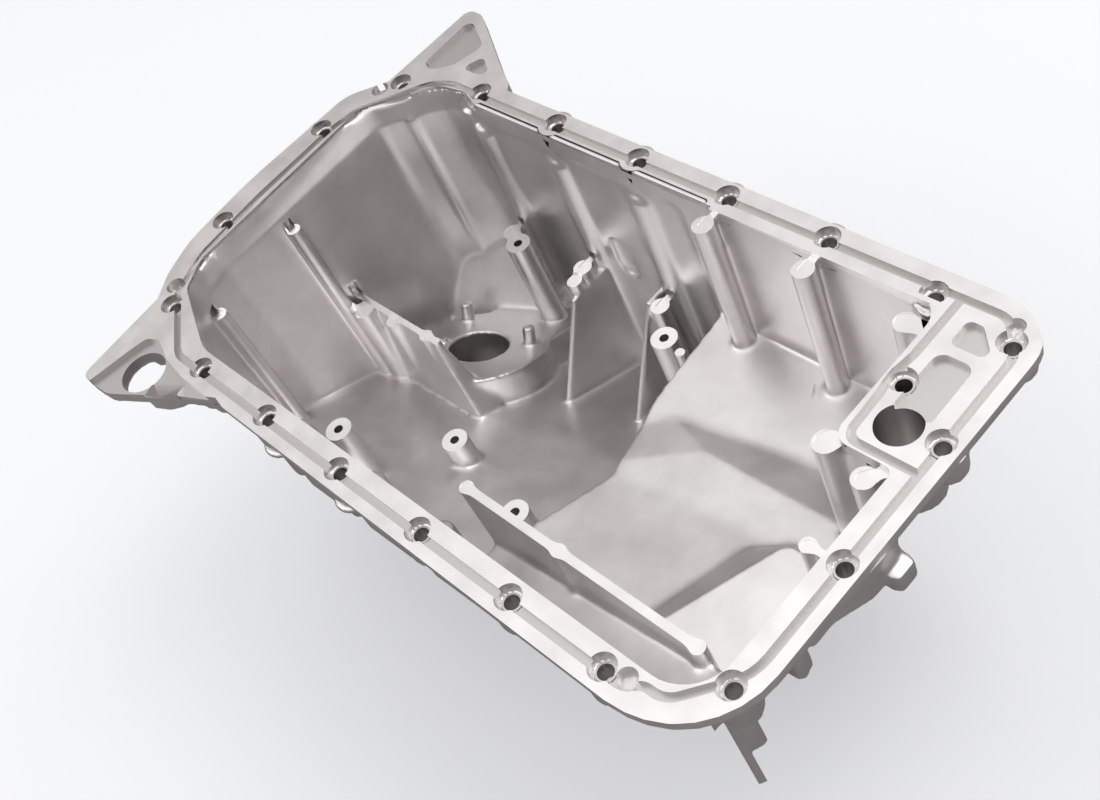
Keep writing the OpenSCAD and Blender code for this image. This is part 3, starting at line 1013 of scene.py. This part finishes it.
@dataclass
class Fettling:
    """What the foundry and the photographed pan have that the plain solid lacks.

    Places are in millimetres on the bolt grid, heights in millimetres from the gasket face.
    """

    zones: MachinedZones
    side_bolts: tuple[Pair, ...] = (
        (80, 0.2), (137.6, 0.2), (195.8, 0.2), (254.4, 0.2), (312.4, 0.2), (365.4, 0.4),
        (367.7, 204.6), (309.4, 209.4), (251.4, 209.4), (193.4, 209.6), (134.2, 210), (74.8, 210))
    end_bolts: tuple[Pair, ...] = ((410.2, 22.5), (412.7, 145.3), (408.5, 197.6))
    collars: tuple[Pair, ...] = (
        (74.8, 209.4), (134.2, 209.4), (193.4, 209.4), (80, 0.2), (137.6, 0.2), (195.8, 0.2))
    above_face: float = 1.0
    flange_foot: float = -12.7
    wing_foot: float = -10.0
    boss_radius: float = 9.0
    boss_top: float = -4.8
    collar_radius: float = 10.75
    tray_foot: float = -89.0
    rib_top: float = -90.3
    into_floor: float = -2.0
    over_floor: float = 0.4
    oval_middle: Pair = (157.3, -84.0)
    oval_straight: float = 7.0  # half its straight part

    def floor(self, x: float, y: float) -> float:
        """Tell the height of the sump floor.

        Args:
            x: place along the pan, in millimetres.
            y: place across the pan.

        Returns:
            The floor's height in millimetres.
        """
        return -110 + 0.0998 * (x - 20) - 0.4369 * (y - 8.7)

    def along_floor(self, outline: Sequence[Pair], lift: float) -> Ring:
        """Lay a plan outline along the sump floor.

        Args:
            outline: the outline's points.
            lift: its height above the floor.

        Returns:
            The ring.
        """
        return tuple((x, y, self.floor(x, y) + lift) for x, y in outline)

    def far_wall(self) -> np.ndarray:
        """Draw the space inside the far wall, which steps round the lobes of its bolts.

        Returns:
            The outline's points.
        """
        radius = self.zones.lobe_radius
        xs = np.linspace(71, 245.5, 260)
        ys = np.full(len(xs), 203.5)
        for x, y in self.zones.lobe_bolts:
            near = np.abs(xs - x) < radius
            reach = np.sqrt(radius ** 2 - (xs[near] - x) ** 2)
            ys[near] = np.minimum(ys[near], y - reach)
        return np.concatenate([np.stack([xs, ys], 1), [(245.5, 199.2), (84, 199.2)]])

    def cuts(self) -> list[Block]:
        """List what is taken off, which comes before anything is added.

        Returns:
            The blocks.
        """
        edge = [(385, -8.7, 0), (421.8, -8.7, 44), (421.2, 216.5, 24), (385, 216.5, 0),
                (385, 240, 0), (446, 240, 0), (446, -40, 0), (385, -40, 0)]
        under = [(108, -6.2, 0), (419.3, -6.2, 41.5), (418.7, 214, 21.5), (100, 214.2, 0),
                 (100, 242, 0), (447, 242, 0), (447, -42, 0), (108, -42, 0)]
        wing = [(10, -20, 0), (15.6, -38, 5), (22, -39.5, 5), (40, -38.6, 16), (54, -31.3, 12),
                (80, -17.5, 20), (104, -7.4, 0), (118, -10, 0), (118, -60, 0), (10, -60, 0)]
        front_of_seat = [(42, 92), (118, 92), (118, 107), (42, 107)]
        old_rib = [(16, 104.9), (93, 104.9), (102, 106.4), (102, 113.2), (93, 113.2), (16, 109.6)]
        blocks = [
            prism(rounded(edge), self.flange_foot, self.above_face),
            prism(rounded(under), self.flange_foot, -5),
            prism(self.far_wall(), -19, self.above_face),
            # undersides of the two wings
            slab(10, -60, 110, -9.6, -26, self.wing_foot),
            slab(10, 218, 95, 262, -14.5, self.wing_foot),
            prism(rounded(wing), -25, self.above_face),
            # what reaches too low or too far out under the timing end
            slab(405.6, 60, 430, 109, -37, -26.2),
            slab(405.6, 60, 430, 93.9, -26.3, -12),
            slab(405.6, 106.1, 430, 109, -26.3, -12),
            slab(405.6, 10, 430, 33, -26, -17),
            slab(409, 133, 430, 158, -26, -17),
            slab(405.6, 186, 430, 210, -26, -17),
            self.oval(7.6, 196, 206)]
        # the step in front of the seat and the plain rib go, and a drafted rib takes their place
        blocks += [Block(self.along_floor(outline, self.over_floor), ring(outline, -80.0))
                   for outline in (front_of_seat, old_rib)]
        return blocks

    def additions(self) -> list[Block]:
        """List what is added.

        Returns:
            The blocks.
        """
        lug = rounded([(58.5, -19.5, 1), (76.5, -9.8, 1), (82, -18, 1.5), (75.5, -24.5, 1.5),
                       (66, -28.5, 1.5)])
        lug_top = tuple((x, y, min(-0.05, -3.1 + 0.1566 * (x - 76) - 0.2773 * (y + 11)))
                        for x, y in lug)
        lump = [(403.5, 56, 0), (415.7, 56, 3), (415.3, 68.6, 12), (421.5, 86, 14), (421.9, 95, 3),
                (420, 108, 6), (403.5, 108, 0)]
        rib_crest = [(15.0, 105.25), (94.0, 105.25), (94.0, 108.75), (15.0, 108.75)]
        rib_root = [(15.0, 98.5), (115.0, 97.5), (115.0, 114.5), (15.0, 113.5)]
        bank = [(18.5, 150), (34.2, 150), (82, 181.9), (82, 204), (49.5, 204), (18.5, 173)]
        bank_top = tuple((x, y, -154 + 1.428 * (0.832 * (y - 171.5) - 0.555 * (x - 52)))
                         for x, y in bank)
        corner_web = np.array([(365.2, 187.9), (370, 188.5), (376, 189.3)])
        blocks = [disc(x, y, self.boss_radius, -16, self.boss_top) for x, y in self.side_bolts]
        blocks += [disc(x, y, self.boss_radius, -17, self.boss_top) for x, y in self.end_bolts]
        blocks += [disc(x, y, self.collar_radius, -21.4, -18.5) for x, y in self.collars]
        blocks += [
            prism(rounded(lump), -22.5, self.boss_top),
            slab(249, 199, 376, 201.5, self.tray_foot, 0),
            Block(ring(lug, -10.5), lug_top),
            Block(self.along_floor(rib_root, self.into_floor), ring(rib_crest, self.rib_top)),
            # pads of the rib, and its end on the seat
            disc(93, 107.3, 2.6, self.floor(112, 107) + 1, -90),
            disc(57, 103.5, 4, -150, -90),
            disc(84.5, 106.8, 4.2, -150, -90),
            slab(32, 100, 38, 107, -130, -91),
            prism(band(corner_web, 8), self.tray_foot, -2.8),
            self.oval(11.6, 205, 210),
            Block(self.along_floor(bank, self.into_floor), bank_top)]
        return blocks

    def oval(self, r: float, start: float, end: float) -> Block:
        """Make the upright oval on the far wall.

        Args:
            r: half its width.
            start: its face towards the front.
            end: its face towards the far side.

        Returns:
            The block.
        """
        middle_x, middle_z = self.oval_middle
        points = []
        for turn in np.linspace(0, 2 * math.pi, 33)[:-1] + 0.01:
            rise = math.copysign(self.oval_straight, math.sin(turn))
            points.append((middle_x + r * math.cos(turn), middle_z + rise + r * math.sin(turn)))
        return Block(tuple((x, end, z) for x, z in points),
                     tuple((x, start, z) for x, z in points))

    def apply(self, solid: Object) -> Object:
        """Work the solid's mesh over in a copy.

        Args:
            solid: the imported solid, which stays as it is.

        Returns:
            A new object with the worked mesh.
        """
        body = add_object("pan_fettled", solid.data.copy())
        bm = bmesh.new()
        bm.from_mesh(body.data)
        bmesh.ops.remove_doubles(bm, verts=bm.verts, dist=WELD)
        bm.to_mesh(body.data)
        bm.free()
        for blocks, how in ((self.cuts(), Join.CUT), (self.additions(), Join.ADD)):
            bm = bmesh.new()
            for block in blocks:
                low, high = ([bm.verts.new((*self.zones.at(x, y), z * MM)) for x, y, z in points]
                             for points in (block.low, block.high))
                close_rings(bm, low, high)
            self.combine(body, bm, how)
        # the new bosses stand over the bolt holes, so these are drilled again
        bm = bmesh.new()
        self.zones.drill_cutters(bm)
        self.combine(body, bm, Join.CUT)
        return body

    @staticmethod
    def combine(body: Object, blocks: BMesh, how: Join) -> None:
        """Join blocks with a body, or cut them from it, as triangles that face outwards.

        Args:
            body: the body, changed in place.
            blocks: the blocks, which are freed.
            how: what the blocks do to the body.
        """
        bmesh.ops.recalc_face_normals(blocks, faces=blocks.faces)
        bmesh.ops.triangulate(blocks, faces=blocks.faces)
        run_boolean(body, blocks, how)


@dataclass(frozen=True)
class Lamp:
    """A soft square lamp: its name, where it hangs, its side in metres and its power in watts."""

    name: str
    at: Triple
    size: float
    power: float


@dataclass
class Studio:
    """Camera at the photograph's place, pale floor and soft lamps."""

    lens: float = 46.325
    sensor: float = 36.0
    nearest: float = 0.01
    camera_at: Triple = (0.4278, -0.1847, 0.4505)
    right: Triple = (0.6725, 0.6623, -0.3301)
    up: Triple = (-0.4021, 0.7016, 0.5883)
    back: Triple = (0.6214, -0.2627, 0.7382)
    lamps: tuple[Lamp, ...] = (Lamp("key", (0.5, 0.9, 1.7), 1.1, 9),
                               Lamp("fill", (-1.3, -0.9, 1.3), 1.2, 5))
    aim: Triple = (0.0, 0.0, -0.08)
    floor_half: float = 6.0
    floor_gap: float = 0.4 * MM  # the pan stands clear of the floor by this
    soft_colour: Colour = (0.95, 0.97, 1.0, 1.0)
    soft_light: float = 0.6
    room_light: float = 1.12
    sky_levels: list[tuple[float, str]] = field(default_factory=lambda: [
        (0.0, "#6a6461"), (0.35, "#8e8885"), (0.62, "#cbc7c5"), (0.82, "#ffffff")])

    def camera(self) -> None:
        """Place the camera."""
        data = bpy.data.cameras.new("camera")
        data.lens = self.lens
        data.sensor_width = self.sensor
        data.clip_start = self.nearest
        camera = add_object("camera", data)
        columns = Matrix((self.right, self.up, self.back)).transposed()
        camera.matrix_world = Matrix.Translation(self.camera_at) @ columns.to_4x4()
        bpy.context.scene.camera = camera

    def hang(self, lamp: Lamp) -> None:
        """Hang a lamp that points at the pan.

        Args:
            lamp: the lamp.
        """
        data = bpy.data.lights.new(lamp.name, "AREA")
        data.shape = "SQUARE"
        data.size = lamp.size
        data.energy = lamp.power
        thing = add_object(lamp.name, data)
        thing.location = lamp.at
        way = Vector(self.aim) - Vector(lamp.at)
        thing.rotation_euler = way.to_track_quat("-Z", "Y").to_euler()

    def floor(self, height: float) -> None:
        """Lay the floor.

        Args:
            height: the floor's height.
        """
        bm = bmesh.new()
        half = self.floor_half
        corners = [bm.verts.new((x * half, y * half, height)) for x, y in
                   ((-1, -1), (1, -1), (1, 1), (-1, 1))]
        bm.faces.new(corners)
        mesh = bpy.data.meshes.new("studio_floor")
        bm.to_mesh(mesh)
        bm.free()
        mesh.materials.append(PaleBackdrop().make())
        add_object("studio_floor", mesh)

    def sky(self) -> None:
        """Fill the room with soft light, white to the camera and darker low down in the metal."""
        world = bpy.data.worlds.new("studio")
        bpy.context.scene.world = world
        world.use_nodes = True
        tree = world.node_tree
        tree.nodes.clear()
        path = put(tree, "ShaderNodeLightPath")
        seen = put(tree, "ShaderNodeMath", {"operation": "MAXIMUM"},
                   {0: path.outputs["Is Camera Ray"], 1: path.outputs["Is Transmission Ray"]})
        aim = put(tree, "ShaderNodeTexCoord").outputs["Generated"]
        parts = put(tree, "ShaderNodeSeparateXYZ", links={0: aim})
        level = put(tree, "ShaderNodeValToRGB", links={"Fac": parts.outputs["Z"]})
        ramp(level, self.sky_levels)
        soft = put(tree, "ShaderNodeBackground", {"Color": self.soft_colour,
                                                  "Strength": self.soft_light})
        room = put(tree, "ShaderNodeBackground", {"Strength": self.room_light},
                   {"Color": level.outputs["Color"]})
        white = put(tree, "ShaderNodeBackground", {"Color": (1.0, 1.0, 1.0, 1.0), "Strength": 1.0})
        inner = put(tree, "ShaderNodeMixShader", links={0: path.outputs["Is Glossy Ray"],
                                                        1: soft.outputs[0], 2: room.outputs[0]})
        mix = put(tree, "ShaderNodeMixShader", links={0: seen.outputs[0], 1: inner.outputs[0],
                                                      2: white.outputs[0]})
        put(tree, "ShaderNodeOutputWorld", links={"Surface": mix.outputs[0]})

    def build(self, lowest: float) -> None:
        """Set up the whole studio.

        Args:
            lowest: height of the part's lowest point.
        """
        self.camera()
        self.floor(lowest - self.floor_gap)
        self.sky()
        for lamp in self.lamps:
            self.hang(lamp)
        bpy.context.scene.view_settings.view_transform = "Standard"


def report(piece: Object) -> None:
    """Log a piece's name and how many triangles it has.

    Args:
        piece: the piece.
    """
    count = sum(len(p.vertices) - 2 for p in piece.data.polygons)
    log.info("%s: %d triangles", piece.name, count)


def main() -> None:
    """Build the pan and its studio."""
    logging.basicConfig(level=logging.INFO, format="%(message)s")
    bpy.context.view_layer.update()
    solid = frame["nodes"]["oil_pan"]
    bores = [m for m in frame["record"]["mounts"] if m["kind"] in ("bore", "threaded_hole")]
    zones = MachinedZones(bores)
    Studio().build(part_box("oil_pan")[0].z)

    materials = [BlastedCastAluminium().make(), MilledAluminium().make(), DrilledAluminium().make()]
    fettled = Fettling(zones).apply(solid)
    rim = MilledRim(zones).build(fettled, materials)
    skin = CastSkin(zones)
    body = skin.build(fettled, materials, rim)
    bpy.data.objects.remove(fettled)
    for piece in (body, rim):
        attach(piece, "root")
        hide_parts("oil_pan")
        report(piece)


if __name__ == "__main__":
    main()
